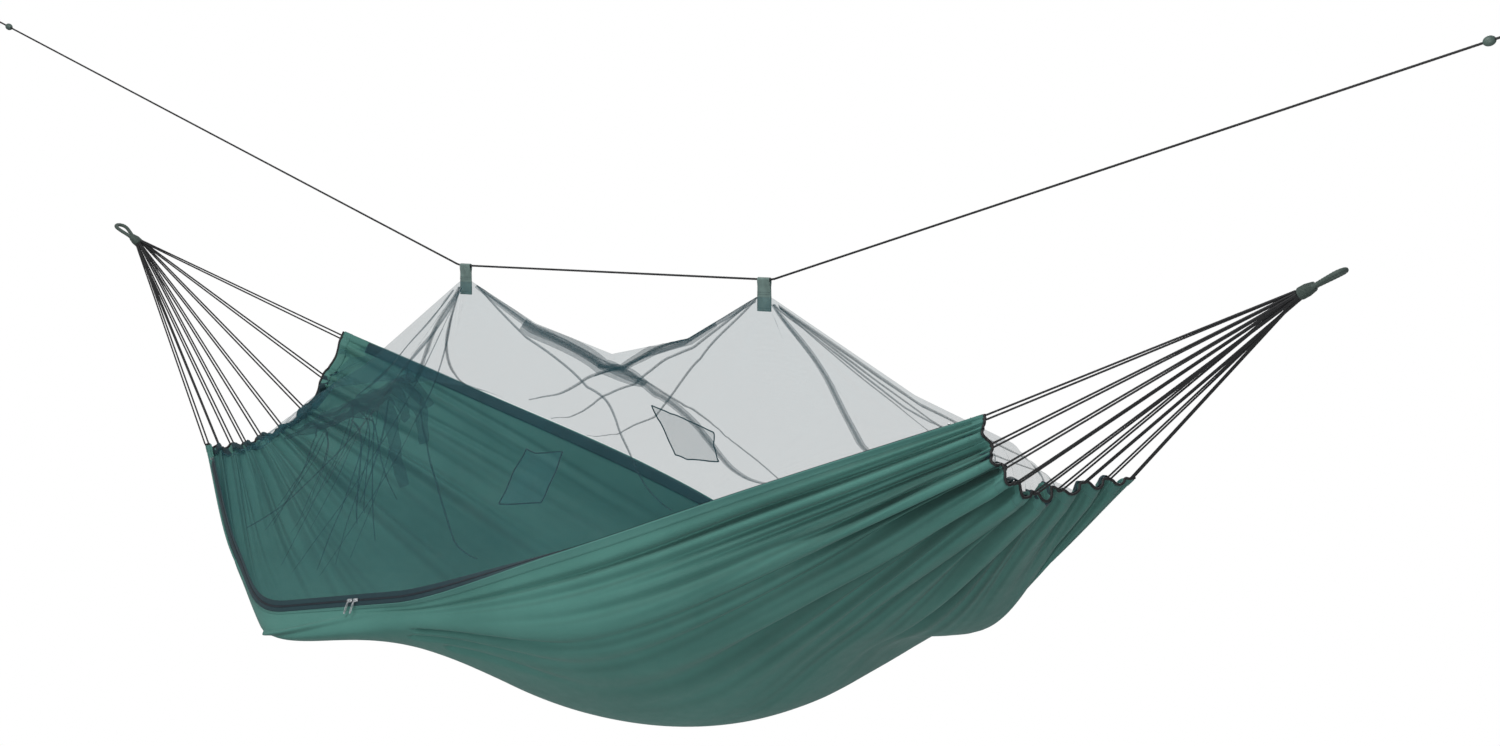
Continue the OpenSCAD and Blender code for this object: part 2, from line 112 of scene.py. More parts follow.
def add_studio():
    """A wide floor well below the hammock, a sky and the lamps. Both backdrops look white."""
    world = bpy.data.worlds.new("studio")
    world.use_nodes = True
    tree = world.node_tree
    sky = tree.nodes["Background"]
    sky.inputs["Color"].default_value = (0.93, 0.97, 1.0, 1)
    sky.inputs["Strength"].default_value = 0.55
    white = tree.nodes.new("ShaderNodeBackground")
    white.inputs["Color"].default_value = (1, 1, 1, 1)
    tree.links.new(white_to_the_eye(tree, sky.outputs[0], white.outputs[0]),
                   tree.nodes["World Output"].inputs["Surface"])
    bpy.context.scene.world = world
    bpy.context.scene.view_settings.view_transform = "Standard"
    for lamp in LAMPS:
        add_light(*lamp)
    mesh = bpy.data.meshes.new("floor")
    square = ((-1, -1), (1, -1), (1, 1), (-1, 1))
    mesh.from_pydata([(x * FLOOR_REACH, y * FLOOR_REACH, FLOOR_Z) for x, y in square], [],
                     [(0, 1, 2, 3)])
    paint, shader = new_paint("floor")
    shader.inputs["Base Color"].default_value = (0.40, 0.40, 0.40, 1)
    shader.inputs["Roughness"].default_value = 0.9
    white = add_node(paint, "Emission", {"Color": (1, 1, 1, 1)})
    join(paint, white_to_the_eye(paint.node_tree, shader.outputs[0], white.outputs[0]),
         paint.node_tree.nodes["Material Output"].inputs["Surface"])
    mesh.materials.append(paint)
    floor = bpy.data.objects.new("floor", mesh)
    bpy.context.scene.collection.objects.link(floor)


# ---- materials ----

def new_paint(name):
    paint = bpy.data.materials.new(name)
    paint.use_nodes = True
    return paint, paint.node_tree.nodes["Principled BSDF"]


def add_node(paint, kind, inputs=None, **settings):
    """A new shader node. An input is a plain value, or another node's output to join it to."""
    node = paint.node_tree.nodes.new("ShaderNode" + kind)
    for key, value in settings.items():
        setattr(node, key, value)
    for key, value in (inputs or {}).items():
        if isinstance(value, bpy.types.NodeSocket):
            paint.node_tree.links.new(value, node.inputs[key])
        else:
            node.inputs[key].default_value = value
    return node


def join(paint, source, target):
    paint.node_tree.links.new(source, target)


def noise(paint, scale, detail=3.0, stretch=(1, 1, 1)):
    """Noise in the object's own coordinates, drawn out along the axes that stretch makes small."""
    place = add_node(paint, "TexCoord").outputs["Object"]
    spread = add_node(paint, "Mapping", {"Vector": place, "Scale": stretch}).outputs["Vector"]
    inputs = {"Vector": spread, "Scale": scale, "Detail": detail}
    return add_node(paint, "TexNoise", inputs).outputs["Fac"]


def threads(paint, pitch, axis):
    """Thread rows a pitch apart: 0 in the gaps and 1 on the threads."""
    place = add_node(paint, "TexCoord").outputs["Object"]
    rows = add_node(paint, "TexWave", {"Vector": place, "Scale": math.pi / 10 / pitch},
                    wave_type="BANDS", bands_direction=axis)
    return rows.outputs["Fac"]


def multiply(paint, a, b):
    return add_node(paint, "Math", {0: a, 1: b}, operation="MULTIPLY").outputs[0]


def ramp(paint, source, *stops):
    """Colours along a 0 to 1 value; each stop is (place, colour)."""
    node = add_node(paint, "ValToRGB", {"Fac": source})
    while len(node.color_ramp.elements) < len(stops):
        node.color_ramp.elements.new(0.5)
    for element, (place, colour) in zip(node.color_ramp.elements, stops):
        element.position = place
        element.color = (*colour, 1)
    return node.outputs["Color"]


def add_colour(paint, shader, source, dark, light, low=0.3, high=0.7):
    """Colour that goes from dark to light with a 0 to 1 value."""
    join(paint, ramp(paint, source, (low, dark), (high, light)), shader.inputs["Base Color"])


def add_roughness(paint, shader, source, low, high):
    """Roughness that wanders between two values with a 0 to 1 value."""
    wander = ramp(paint, source, (0.3, (low,) * 3), (0.7, (high,) * 3))
    join(paint, wander, shader.inputs["Roughness"])


def add_bump(paint, shader, height, distance, strength=1.0):
    bump = add_node(paint, "Bump", {"Height": height, "Distance": distance, "Strength": strength})
    join(paint, bump.outputs["Normal"], shader.inputs["Normal"])


def woven(name, dark, light, pitch, sheen, rough, patch=6.0, painted_fold_shade=0.0):
    """Cloth: two thread directions, uneven dye and uneven roughness. The last argument is how much
    darker painted shade makes the colour along the flanks of the folds, by the shade value the mesh
    stores at each point."""
    paint, shader = new_paint(name)
    dye = noise(paint, patch, 4)
    colour = ramp(paint, dye, (0.3, dark), (0.7, light))
    # painted shade: the colour is darkened along the flanks of the folds, by the value the mesh
    # stores at each point
    if painted_fold_shade:
        crease_shade_mask = add_node(paint, "Attribute", attribute_name="painted_crease_shade").outputs["Fac"]
        crease_shaded_colour = add_node(paint, "HueSaturation", {"Color": colour, "Value": 1 - painted_fold_shade})
        colour = add_node(paint, "MixRGB", {"Fac": crease_shade_mask, "Color1": colour,
                                            "Color2": crease_shaded_colour.outputs["Color"]}).outputs["Color"]
    join(paint, colour, shader.inputs["Base Color"])
    add_roughness(paint, shader, noise(paint, 40, 2), rough - 0.08, rough + 0.08)
    weave = multiply(paint, threads(paint, pitch, "X"), threads(paint, pitch, "Z"))
    add_bump(paint, shader, weave, pitch * 0.3, 0.5)
    shader.inputs["Sheen Weight"].default_value = sheen
    shader.inputs["Sheen Roughness"].default_value = 0.5
    shader.inputs["Specular IOR Level"].default_value = 0.3
    return paint


def netting(name, dark, light, holes, threads_alpha, pitch=0.0016):
    """Fine see-through mesh: threads hide a part of what is behind, and the holes less of it."""
    paint, shader = new_paint(name)
    add_colour(paint, shader, noise(paint, 4, 3), dark, light)
    shader.inputs["Roughness"].default_value = 0.75
    shader.inputs["Sheen Weight"].default_value = 0.05
    shader.inputs["Specular IOR Level"].default_value = 0.2
    weave = add_node(paint, "Math", {0: threads(paint, pitch, "X"), 1: threads(paint, pitch, "Z")},
                     operation="MAXIMUM").outputs[0]
    cover = ramp(paint, weave, (0.45, (holes,) * 3), (1.0, (threads_alpha,) * 3))
    join(paint, cover, shader.inputs["Alpha"])
    add_bump(paint, shader, weave, 0.0003, 0.4)
    return paint


def twisted(name, dark, light, sheen=0.03):
    """Cord and rope: dark in the lay between strands, fuzzy with fine fibres."""
    paint, shader = new_paint(name)
    fibre = noise(paint, 900, 2)
    add_colour(paint, shader, fibre, dark, light, 0.35, 0.65)
    add_roughness(paint, shader, fibre, 0.55, 0.8)
    add_bump(paint, shader, fibre, 0.0002, 0.6)
    shader.inputs["Sheen Weight"].default_value = sheen
    return paint


def moulded(name, dark, light, rough):
    """Plastic with a fine moulded grain."""
    paint, shader = new_paint(name)
    add_colour(paint, shader, noise(paint, 60, 3), dark, light, 0.35, 0.65)
    grain = noise(paint, 1500, 2)
    add_roughness(paint, shader, grain, rough - 0.1, rough + 0.1)
    add_bump(paint, shader, grain, 0.0001, 0.4)
    return paint


def brushed_metal():
    """Satin metal with fine scratches along the piece and duller worn patches."""
    paint, shader = new_paint("zip_metal")
    scratch = noise(paint, 700, 2, (1, 1, 0.05))
    add_colour(paint, shader, noise(paint, 120, 3), (0.50, 0.51, 0.52), (0.78, 0.79, 0.80),
               0.35, 0.6)
    add_roughness(paint, shader, scratch, 0.18, 0.42)
    add_bump(paint, shader, scratch, 0.00005, 0.5)
    shader.inputs["Metallic"].default_value = 1.0
    return paint


def all_paints():
    return {
        # the bed cloth's colour carries painted shade along its fold flanks, up to 0.6 darker
        "bed_cloth": woven("bed_cloth", (0.044, 0.146, 0.124), (0.056, 0.174, 0.148),
                           0.0006, 0.06, 0.7, painted_fold_shade=0.6),
        "hem": woven("hem", (0.044, 0.140, 0.122), (0.056, 0.166, 0.144), 0.0006, 0.06, 0.7),
        "net": netting("net", (0.020, 0.088, 0.110), (0.028, 0.112, 0.138), 0.13, 0.32),
        # the gathered net: more layers let less through, and its colour is darker than the net's
        # own as painted shade
        "net_gathered_shaded": netting("net_gathered_shaded", (0.004, 0.016, 0.024), (0.008, 0.026, 0.036),
                                0.30, 0.60),
        "tape": woven("tape", (0.006, 0.024, 0.032), (0.010, 0.036, 0.044), 0.0009, 0.05, 0.7),
        "cord": twisted("cord", (0.002, 0.002, 0.003), (0.007, 0.007, 0.008)),
        "eye_rope": twisted("eye_rope", (0.020, 0.035, 0.030), (0.060, 0.085, 0.072)),
        "webbing": woven("webbing", (0.070, 0.110, 0.100), (0.115, 0.175, 0.160),
                         0.0014, 0.3, 0.5, 60),
        "zip_teeth": moulded("zip_teeth", (0.005, 0.009, 0.014), (0.009, 0.015, 0.022), 0.5),
        "zip_metal": brushed_metal(),
        "adjuster": moulded("adjuster", (0.045, 0.075, 0.065), (0.065, 0.100, 0.085), 0.5),
    }


# ---- mesh building ----

def unit(v):
    v = np.asarray(v, float)
    return v / np.maximum(np.linalg.norm(v, axis=-1, keepdims=True), 1e-12)


def lerp(a, b, x):
    return a + (b - a) * x


def smooth(x):
    x = np.clip(x, 0, 1)
    return x * x * (3 - 2 * x)


def pairs(a, b):
    """Two grids that between them hold every pair from a and b, with a down the rows."""
    return np.meshgrid(a, b, indexing="ij")


def grid_faces(m, n, closed=False):
    """Quads of an m by n grid of points; closed joins each row's last point to its first."""
    i, j = pairs(np.arange(m - 1), np.arange(n if closed else n - 1))
    a = i * n + j
    b = i * n + (j + 1) % n
    return np.stack([a, b, b + n, a + n], -1).reshape(-1, 4)


def grid_normals(points):
    return unit(np.cross(np.gradient(points, axis=0), np.gradient(points, axis=1)))


def add_painted_crease_shade(piece, values):
    """Writes the painted shade along the fold flanks, how much darker the colour is, at each point
    of a closed sheet's grid.
    """
    ring = np.concatenate([values, values[:, ::-1]], axis=1).ravel()
    layer = piece.data.attributes.new("painted_crease_shade", "FLOAT", "POINT")
    layer.data.foreach_set("value", ring.astype(np.float32))


def open_sheet(points):
    """One layer on a grid of points."""
    m, n = points.shape[:2]
    return points.reshape(-1, 3), grid_faces(m, n)


def sheet(points, thick):
    """A closed sheet of even thickness on a grid of points."""
    m, n = points.shape[:2]
    normals = grid_normals(points)
    layers = [points + normals * thick / 2, points - normals * thick / 2]
    ring = np.concatenate([layers[0], layers[1][:, ::-1]], axis=1)
    faces = [grid_faces(m, 2 * n, closed=True)[:, ::-1]]
    for row, flip in ((0, 1), (m - 1, -1)):
        start = row * 2 * n
        j = np.arange(n - 1)
        back = start + 2 * n - 1 - j
        faces.append(np.stack([start + j, start + j + 1, back - 1, back], -1)[:, ::flip])
    return ring.reshape(-1, 3), np.concatenate(faces)


def frames_along(path, first):
    """Directions along a path, and two square to it that don't spin."""
    along = unit(np.gradient(path, axis=0))
    side = unit(np.cross(along[0], first))
    sides = [side]
    for k in range(1, len(path)):
        side = unit(side - along[k] * np.dot(side, along[k]))
        sides.append(side)
    sides = np.array(sides)
    return along, sides, np.cross(along, sides)


def resample(path, step):
    """Points a step apart along a path."""
    path = np.asarray(path, float)
    lengths = np.concatenate([[0], np.cumsum(np.linalg.norm(np.diff(path, axis=0), axis=1))])
    count = max(int(lengths[-1] / step), 2) + 1
    at = np.linspace(0, lengths[-1], count)
    return np.stack([np.interp(at, lengths, path[:, k]) for k in range(3)], -1)


def tube(path, radius, sides=8, strands=0, lay=0.01, first=UP, closed_ends=True):
    """A round cord. With strands, it is twisted: each strand stands out and turns once in a lay."""
    path = np.asarray(path, float)
    _, a, b = frames_along(path, first)
    run = np.concatenate([[0], np.cumsum(np.linalg.norm(np.diff(path, axis=0), axis=1))])
    angle = np.linspace(0, 2 * np.pi, sides, endpoint=False)[None, :]
    radius = np.broadcast_to(np.asarray(radius, float), (len(path),))[:, None]
    if strands:
        turn = 2 * np.pi * run[:, None] / lay
        radius = radius * (0.92 + 0.14 * np.abs(np.cos(strands / 2 * (angle - turn))))
    else:
        radius = np.broadcast_to(radius, (len(path), sides))
    ring = (path[:, None] + radius[..., None] * (np.cos(angle)[..., None] * a[:, None]
                                                 + np.sin(angle)[..., None] * b[:, None]))
    faces = grid_faces(len(path), sides, closed=True).tolist()
    if closed_ends:
        faces.append(list(range(sides))[::-1])
        faces.append([(len(path) - 1) * sides + k for k in range(sides)])
    return ring.reshape(-1, 3), faces


def make(name, parts, finish, body="bed", node=None, flat_shaded=False):
    """One piece from its (points, faces) parts, in its finish. It rides on body, if it has one."""
    points, faces, start = [], [], 0
    for part_points, part_faces in parts:
        points.append(part_points)
        faces.extend([[int(k) + start for k in face] for face in part_faces])
        start += len(part_points)
    mesh = bpy.data.meshes.new(name)
    mesh.from_pydata((np.concatenate(points) + MID).tolist(), [], faces)
    mesh.materials.append(PAINTS[finish])
    mesh.shade_flat() if flat_shaded else mesh.shade_smooth()
    piece = bpy.data.objects.new(name, mesh)
    bpy.context.scene.collection.objects.link(piece)
    if node:
        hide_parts(*([node] if isinstance(node, str) else node))
    if body:
        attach(piece, body)
    return piece


def stitches(path, lift, length=0.003, gap=0.0016, d=0.0009):
    """A row of thread stitches along a path, each a small lozenge that stands up along lift."""
    spots = resample(path, length + gap)
    along = unit(np.gradient(spots, axis=0))
    if np.ndim(lift) == 2:
        at = np.linspace(0, 1, len(spots))
        source = np.linspace(0, 1, len(lift))
        lift = np.stack([np.interp(at, source, lift[:, k]) for k in range(3)], -1)
    lift = unit(np.broadcast_to(lift, spots.shape))
    side = unit(np.cross(along, lift))
    shape = [(-0.5, 0, 0), (0, 0.5, 0), (0.5, 0, 0), (0, -0.5, 0), (0, 0, 0.7)]
    corners = [spots + along * a * length + side * b * d + lift * c * d for a, b, c in shape]
    points = np.stack(corners, 1).reshape(-1, 3)
    base = np.arange(len(spots))[:, None] * len(shape)
    faces = [(base + np.array(f)).tolist() for f in ((0, 1, 4), (1, 2, 4), (2, 3, 4), (3, 0, 4))]
    return points, [f for group in faces for f in group]


# ---- curves of the bed ----

NEAR_RIM = np.array([
    [-1.055, -0.165, -0.430], [-0.740, -0.340, -0.625], [-0.470, -0.440, -0.688],
    [-0.150, -0.440, -0.632], [0.250, -0.412, -0.498], [0.620, -0.312, -0.358],
    [0.970, -0.110, -0.220]])
NEAR_WALL = np.array([
    [-1.050, -0.100, -0.435], [-0.690, -0.325, -0.680], [-0.480, -0.435, -0.745],
    [-0.060, -0.400, -0.700], [0.330, -0.350, -0.680], [0.700, -0.210, -0.500],
    [1.000, -0.110, -0.310]])
KEEL = np.array([
    [-1.040, -0.030, -0.420], [-0.760, -0.060, -0.580], [-0.430, -0.060, -0.710],
    [0.000, -0.070, -0.868], [0.400, 0.030, -0.846], [0.720, 0.040, -0.600],
    [1.030, -0.040, -0.362]])
FAR_WALL = np.array([
    [-0.990, 0.050, -0.350], [-0.730, 0.190, -0.470], [-0.400, 0.350, -0.640],
    [0.000, 0.410, -0.740], [0.430, 0.440, -0.766], [0.700, 0.335, -0.684], [1.045, 0.110, -0.360]])
FAR_RIM = np.array([
    [-0.955, 0.145, -0.185], [-0.660, 0.300, -0.320], [-0.330, 0.410, -0.446],
    [0.000, 0.440, -0.572], [0.400, 0.440, -0.656], [0.740, 0.350, -0.606], [1.060, 0.240, -0.360]])
# The near rim runs straight between these two of its points
STRAIGHT = (2, 3)


def hermite(p, m, u):
    """Curve through points p, with slopes m, at each u from 0 to 1."""
    u = np.asarray(u, float)
    k = np.clip((u * (len(p) - 1)).astype(int), 0, len(p) - 2)
    x = (u * (len(p) - 1) - k)[..., None]
    if p.ndim == 2:
        p0, p1, m0, m1 = p[k], p[k + 1], m[k], m[k + 1]
    else:
        pick = np.indices(k.shape)
        p0, p1 = p[(k, *pick)], p[(k + 1, *pick)]
        m0, m1 = m[(k, *pick)], m[(k + 1, *pick)]
    return (p0 * (2 * x ** 3 - 3 * x ** 2 + 1) + m0 * (x ** 3 - 2 * x ** 2 + x)
            + p1 * (3 * x ** 2 - 2 * x ** 3) + m1 * (x ** 3 - x ** 2))


def spline(p, u):
    return hermite(p, np.gradient(p, axis=0), u)


def square_to(surface, u, v, step=0.004):
    """Direction square to a surface of two places from 0 to 1."""
    u0, u1 = np.maximum(u - step, 0), np.minimum(u + step, 1)
    v0, v1 = np.maximum(v - step, 0), np.minimum(v + step, 1)
    return unit(np.cross(surface(u1, v) - surface(u0, v), surface(u, v1) - surface(u, v0)))


def near_rim(u):
    """The near rim has one straight stretch, where the zip sliders run."""
    slopes = np.gradient(NEAR_RIM, axis=0)
    slopes[list(STRAIGHT)] = NEAR_RIM[STRAIGHT[1]] - NEAR_RIM[STRAIGHT[0]]
    return hermite(NEAR_RIM, slopes, u)


# Places where the cloth is drawn out of the smooth shape: (u, t), reach in u and t, how far, sharp
TUGS = (
    ((0.315, 0.215), (0.050, 0.100), (0.016, -0.002, 0.002), True),
    ((0.810, 0.770), (0.060, 0.120), (0.004, 0.000, 0.004), True),
    ((0.250, 0.190), (0.070, 0.140), (0.016, 0.006, 0.000), False),
    ((0.415, 0.460), (0.055, 0.150), (0.000, 0.000, 0.058), False),
    ((0.735, 0.620), (0.050, 0.170), (0.000, 0.000, 0.048), False),
    ((0.600, 0.420), (0.080, 0.160), (0.000, 0.000, -0.008), False),
    ((0.900, 0.800), (0.050, 0.160), (0.000, 0.000, 0.020), False),
    ((0.120, 0.080), (0.120, 0.120), (-0.012, 0.000, 0.000), False),
    ((0.450, 1.000), (0.080, 0.120), (0.000, 0.000, 0.012), False),
    ((0.000, 0.800), (0.060, 0.300), (0.016, 0.000, -0.006), False),
    ((1.000, 0.300), (0.050, 0.150), (0.010, 0.000, 0.000), False),
)


def smooth_bed(u, t):
    """A point of the bed without its folds: u from the left end to the right, t from rim to rim."""
    u, t = np.broadcast_arrays(np.asarray(u, float), np.asarray(t, float))
    rows = np.stack([near_rim(u), spline(NEAR_WALL, u), spline(KEEL, u), spline(FAR_WALL, u),
                     spline(FAR_RIM, u)])
    points = hermite(rows, np.gradient(rows, axis=0), t)
    for (u0, t0), (du, dt), move, sharp in TUGS:
        away = ((u - u0) / du) ** 2 + ((t - t0) / dt) ** 2
        share = np.exp(-np.sqrt(away + 0.01)) if sharp else np.exp(-away)
        points = points + share[..., None] * np.array(move)
    return points


def bed_inward(u, t):
    """Direction square to the bed, towards the sleeper."""
    return square_to(smooth_bed, u, t)


# ---- folds ----

LOOPS = 9
LOOP_T = np.linspace(0.02, 0.98, LOOPS)
# How far the left and right edges are drawn in between two loops, how high the cloth puffs up
# there, and how far that reaches along the cloth
SCALLOP = (0.006, 0.009)
PUFFS = (0.012, 0.015)
PUFF_REACH = 0.16
RIM_HEM, RIM_HEM_T = 0.026, 0.0034
END_HEM, END_HEM_T = 0.022, 0.0040


def fold_place(x, y, start, end, width):
    """How strong a fold is at each place, and how far across it that is, in half widths."""
    start, end = np.array(start), np.array(end)
    run = end - start
    length = np.hypot(*run)
    along = ((x - start[0]) * run[0] + (y - start[1]) * run[1]) / length ** 2
    off = ((x - start[0]) * run[1] - (y - start[1]) * run[0]) / length
    half = width[0] + (width[1] - width[0]) * np.clip(along, 0, 1)
    return smooth((1 - along) / 0.8) * smooth((along + 0.02) / 0.05), off / half


def fold(x, y, start, end, height, width):
    """Height of one long narrow fold that starts sharp and fades and widens towards its end."""
    fade, across = fold_place(x, y, start, end, width)
    return height * fade * np.exp(-across ** 2)


def value_noise(x, y, seed):
    """Smooth noise from -1 to 1 on a unit grid."""
    table = np.random.default_rng(seed).uniform(-1, 1, (64, 64))
    i, j = np.floor(x).astype(int), np.floor(y).astype(int)
    a, b = smooth(x - i), smooth(y - j)
    row0 = table[i % 64, j % 64] * (1 - a) + table[(i + 1) % 64, j % 64] * a
    row1 = table[i % 64, (j + 1) % 64] * (1 - a) + table[(i + 1) % 64, (j + 1) % 64] * a
    return row0 * (1 - b) + row1 * b


def loop_phase(t):
    """0 at each cord loop and 1 midway between two of them; 0 outside the outer loops."""
    pitch = LOOP_T[1] - LOOP_T[0]
    inside = (t > LOOP_T[0]) & (t < LOOP_T[-1])
    return np.where(inside, 0.5 - 0.5 * np.cos(2 * np.pi * (t - LOOP_T[0]) / pitch), 0)


# Fans of long folds that run out from the cord loops: which end, from and to which loop, how many,
# lengths, mean drift across the cloth, heights, half widths. A positive height stands inwards
FOLD_FANS = (
    (0, (0, 3), 12, (0.25, 0.60), 0.02, (0.004, 0.008), (0.006, 0.010)),
    (0, (3, 8), 30, (0.45, 1.25), -0.10, (0.006, 0.012), (0.007, 0.011)),
    (1, (0, 2), 10, (0.45, 1.10), -0.02, (0.007, 0.013), (0.007, 0.012)),
    (1, (1, 5), 34, (0.35, 1.10), -0.03, (0.007, 0.014), (0.006, 0.011)),
    (1, (4, 8), 26, (0.20, 0.70), 0.00, (0.005, 0.010), (0.006, 0.010)),
)
# Single folds, as (start, end, height, half widths at start and end) in metres along and across
LONE_FOLDS = (
    ((2.30, 0.078), (0.85, 0.062), 0.016, (0.008, 0.010)),
    ((2.30, 0.125), (1.05, 0.100), 0.013, (0.008, 0.016)),
    ((2.30, 0.215), (1.20, 0.160), 0.018, (0.009, 0.020)),
    ((2.30, 0.285), (1.00, 0.240), 0.017, (0.008, 0.022)),
    ((2.30, 0.310), (1.10, 0.330), 0.015, (0.008, 0.022)),
    ((2.30, 0.420), (1.30, 0.400), 0.016, (0.008, 0.024)),
    ((2.30, 0.480), (1.40, 0.520), 0.014, (0.008, 0.020)),
    ((1.13, 0.225), (1.56, 0.270), 0.016, (0.010, 0.012)),
    ((1.10, 0.275), (1.50, 0.330), 0.014, (0.012, 0.014)),
    ((1.14, 0.330), (1.44, 0.395), 0.010, (0.012, 0.014)),
    ((0.68, 0.215), (1.10, 0.050), -0.008, (0.012, 0.024)),
)


def bed_folds():
    draw = np.random.default_rng(11)
    folds = list(LONE_FOLDS)
    for end, (first, last), count, lengths, drift, heights, widths in FOLD_FANS:
        for place in np.linspace(LOOP_T[first], LOOP_T[last], count):
            nearest = LOOP_T[np.abs(LOOP_T - place).argmin()]
            t = nearest + (place - nearest) * 0.45
            x = BED_LENGTH * end
            way = -1 if end else 1
            reach = draw.uniform(*lengths)
            target = place + drift * reach + draw.normal(0, 0.012)
            height = draw.uniform(*heights) * (1 if draw.random() < 0.7 else -0.6)
            width = draw.uniform(*widths)
            folds.append(((x, t * BED_WIDTH), (x + way * reach, target * BED_WIDTH), height,
                          (width, width * draw.uniform(1.5, 2.6))))
    return folds


def bed_relief(u, t):
    """How far the folded cloth stands inwards from the smooth bed."""
    x, y = u * BED_LENGTH, t * BED_WIDTH
    from_left, from_right = x, BED_LENGTH - x
    from_end = np.minimum(from_left, from_right)
    # puffs between the cord loops, which start low at the hem and die out along the cloth
    puffs = PUFFS[0] * np.exp(-from_left / PUFF_REACH) + PUFFS[1] * np.exp(-from_right / PUFF_REACH)
    relief = -loop_phase(t) * (0.35 + 0.65 * smooth(from_end / 0.05)) * puffs
    for start, end, height, width in FOLDS:
        relief += fold(x, y, start, end, height, width)
    drawn_out = np.exp(-from_end / 0.45)
    relief += 0.0012 * value_noise(x * 3, t * 55, 3) * drawn_out
    relief += 0.0022 * value_noise(x * 2, t * 19, 4) * (0.35 + 0.65 * drawn_out)
    relief += 0.0040 * value_noise(x * 1.6, t * 5, 5)
    flat_hem = smooth(np.minimum(y, BED_WIDTH - y) / 0.06)
    return relief * (0.2 + 0.8 * flat_hem)


def bed_painted_crease_shade(u, t):
    """From 0 to 1, how much painted shade darkens the cloth's colour along the flanks of its folds.
    """
    x, y = u * BED_LENGTH, t * BED_WIDTH
    painted_crease_shade = 0
    for start, end, height, width in FOLDS:
        fade, across = fold_place(x, y, start, end, width)
        # painted shade falls on the flank on one side of each fold, more for a taller fold
        flank = np.exp(-((across - math.copysign(0.9, height)) / 0.45) ** 2)
        painted_crease_shade = painted_crease_shade + fade * flank * min(abs(height) / 0.012, 1.0)
    return 1 - np.exp(-painted_crease_shade)


def bed(u, t):
    """A point of the folded bed. Its ends are drawn in between the cord loops."""
    draw_in = loop_phase(t)
    left, right = SCALLOP[0] * draw_in / BED_LENGTH, SCALLOP[1] * draw_in / BED_LENGTH
    place = left + u * (1 - left - right)
    return smooth_bed(place, t) + bed_inward(place, t) * bed_relief(place, t)[..., None]


FOLDS = bed_folds()


def span(a, b, count):
    return np.linspace(a, b, max(int(count * FINE), 8))


def band(points, inward, thick):
    """A doubled band of cloth on a grid of points (along, across), with round edges."""
    across = np.linspace(0, 1, points.shape[1])
    bulge = thick / 2 * np.sqrt(np.clip(1 - (2 * across - 1) ** 8, 0.02, 1))[None, :, None]
    ring = np.concatenate([points + inward * bulge, (points - inward * bulge)[:, ::-1]], axis=1)
    m, n = ring.shape[:2]
    faces = grid_faces(m, n, closed=True).tolist()
    faces.append(list(range(n)))
    faces.append([(m - 1) * n + k for k in range(n)][::-1])
    return ring.reshape(-1, 3), faces


def hem_band(name, points, inward, thick, rows):
    """A hem with its stitches: rows are the places across it that are sewn, on both faces."""
    hem = make(name + "_hem_band", [band(points, inward, thick)], "hem", node=name + "_hem")
    seams = [stitches(points[:, row] + inward[:, row] * side * thick / 2, inward[:, row] * side)
             for row in rows for side in (-1, 1)]
    return [hem, make(name + "_stitching", seams, "hem")]


def add_bed():
    rim, end = RIM_HEM / BED_WIDTH, END_HEM / BED_LENGTH
    u, t = pairs(span(end * 0.5, 1 - end * 0.5, BED_GRID[0]),
                 span(rim * 0.5, 1 - rim * 0.5, BED_GRID[1]))
    cloth = make("bed_cloth_sheet", [sheet(bed(u, t), CLOTH_T)], "bed_cloth", node="bed_cloth")
    # painted shade along the flanks of the cloth's folds, stored on the mesh
    add_painted_crease_shade(cloth, bed_painted_crease_shade(u, t))
    hems = []
    for name, t0, t1 in (("near_rim", 0, rim), ("far_rim", 1 - rim, 1)):
        u, t = pairs(span(0, 1, BED_GRID[0]), np.linspace(t0, t1, 9))
        hems += hem_band(name, bed(u, t), bed_inward(u, t), RIM_HEM_T, (1, 7))
    for name, u0, u1, row in (("left_end", 0, end, 7), ("right_end", 1 - end, 1, 1)):
        u, t = pairs(np.linspace(u0, u1, 9), span(0, 1, 520))
        hems += hem_band(name, bed(u, t).swapaxes(0, 1), bed_inward(u, t).swapaxes(0, 1),
                         END_HEM_T, (row,))


# ---- suspension: edge ropes, cords, whippings and rope eyes ----

THROATS = np.array([[-1.5, 0, 0], [1.5, 0, 0]])
EYES = np.array([[-1.575, 0, 0.040], [1.575, 0, 0.040]])
EYE_WAYS = unit(EYES - THROATS)
CORD_D = 0.003
# A twisted tube's strands stand in a little, so it is drawn from a slightly larger radius
CORD_FULL_R = 0.0018
EDGE_ROPE_D = 0.005
STRAND_PITCH = 0.0033
STRAND_SPREAD = 0.004
STRAND_ROWS = ((1, 0, -1, 1, -1, 0, -1, 0, 1), (-1, 0, 1, 0, 1, -1, 1, 0, -1))
WHIP_START = 0.0012
WHIP_LENGTH = 0.030
WHIP_PITCH = 0.0016
WHIP_R = 0.011
NECK_R = 0.0085
EYE_ROPE_D = 0.008
EYE_HALF = 0.013


def end_edge(end, t):
    """The cloth's own drawn-in edge at one end."""
    t = np.asarray(t, float)
    return bed(np.full_like(t, end), t)


def edge_rope_line(end, t):
    """The rope along an end lies just outside the cloth's edge, towards the throat."""
    out = unit(THROATS[end] - smooth_bed(np.array(float(end)), np.array(0.5)))
    return end_edge(end, t) + out * (EDGE_ROPE_D / 2 + 0.0004)


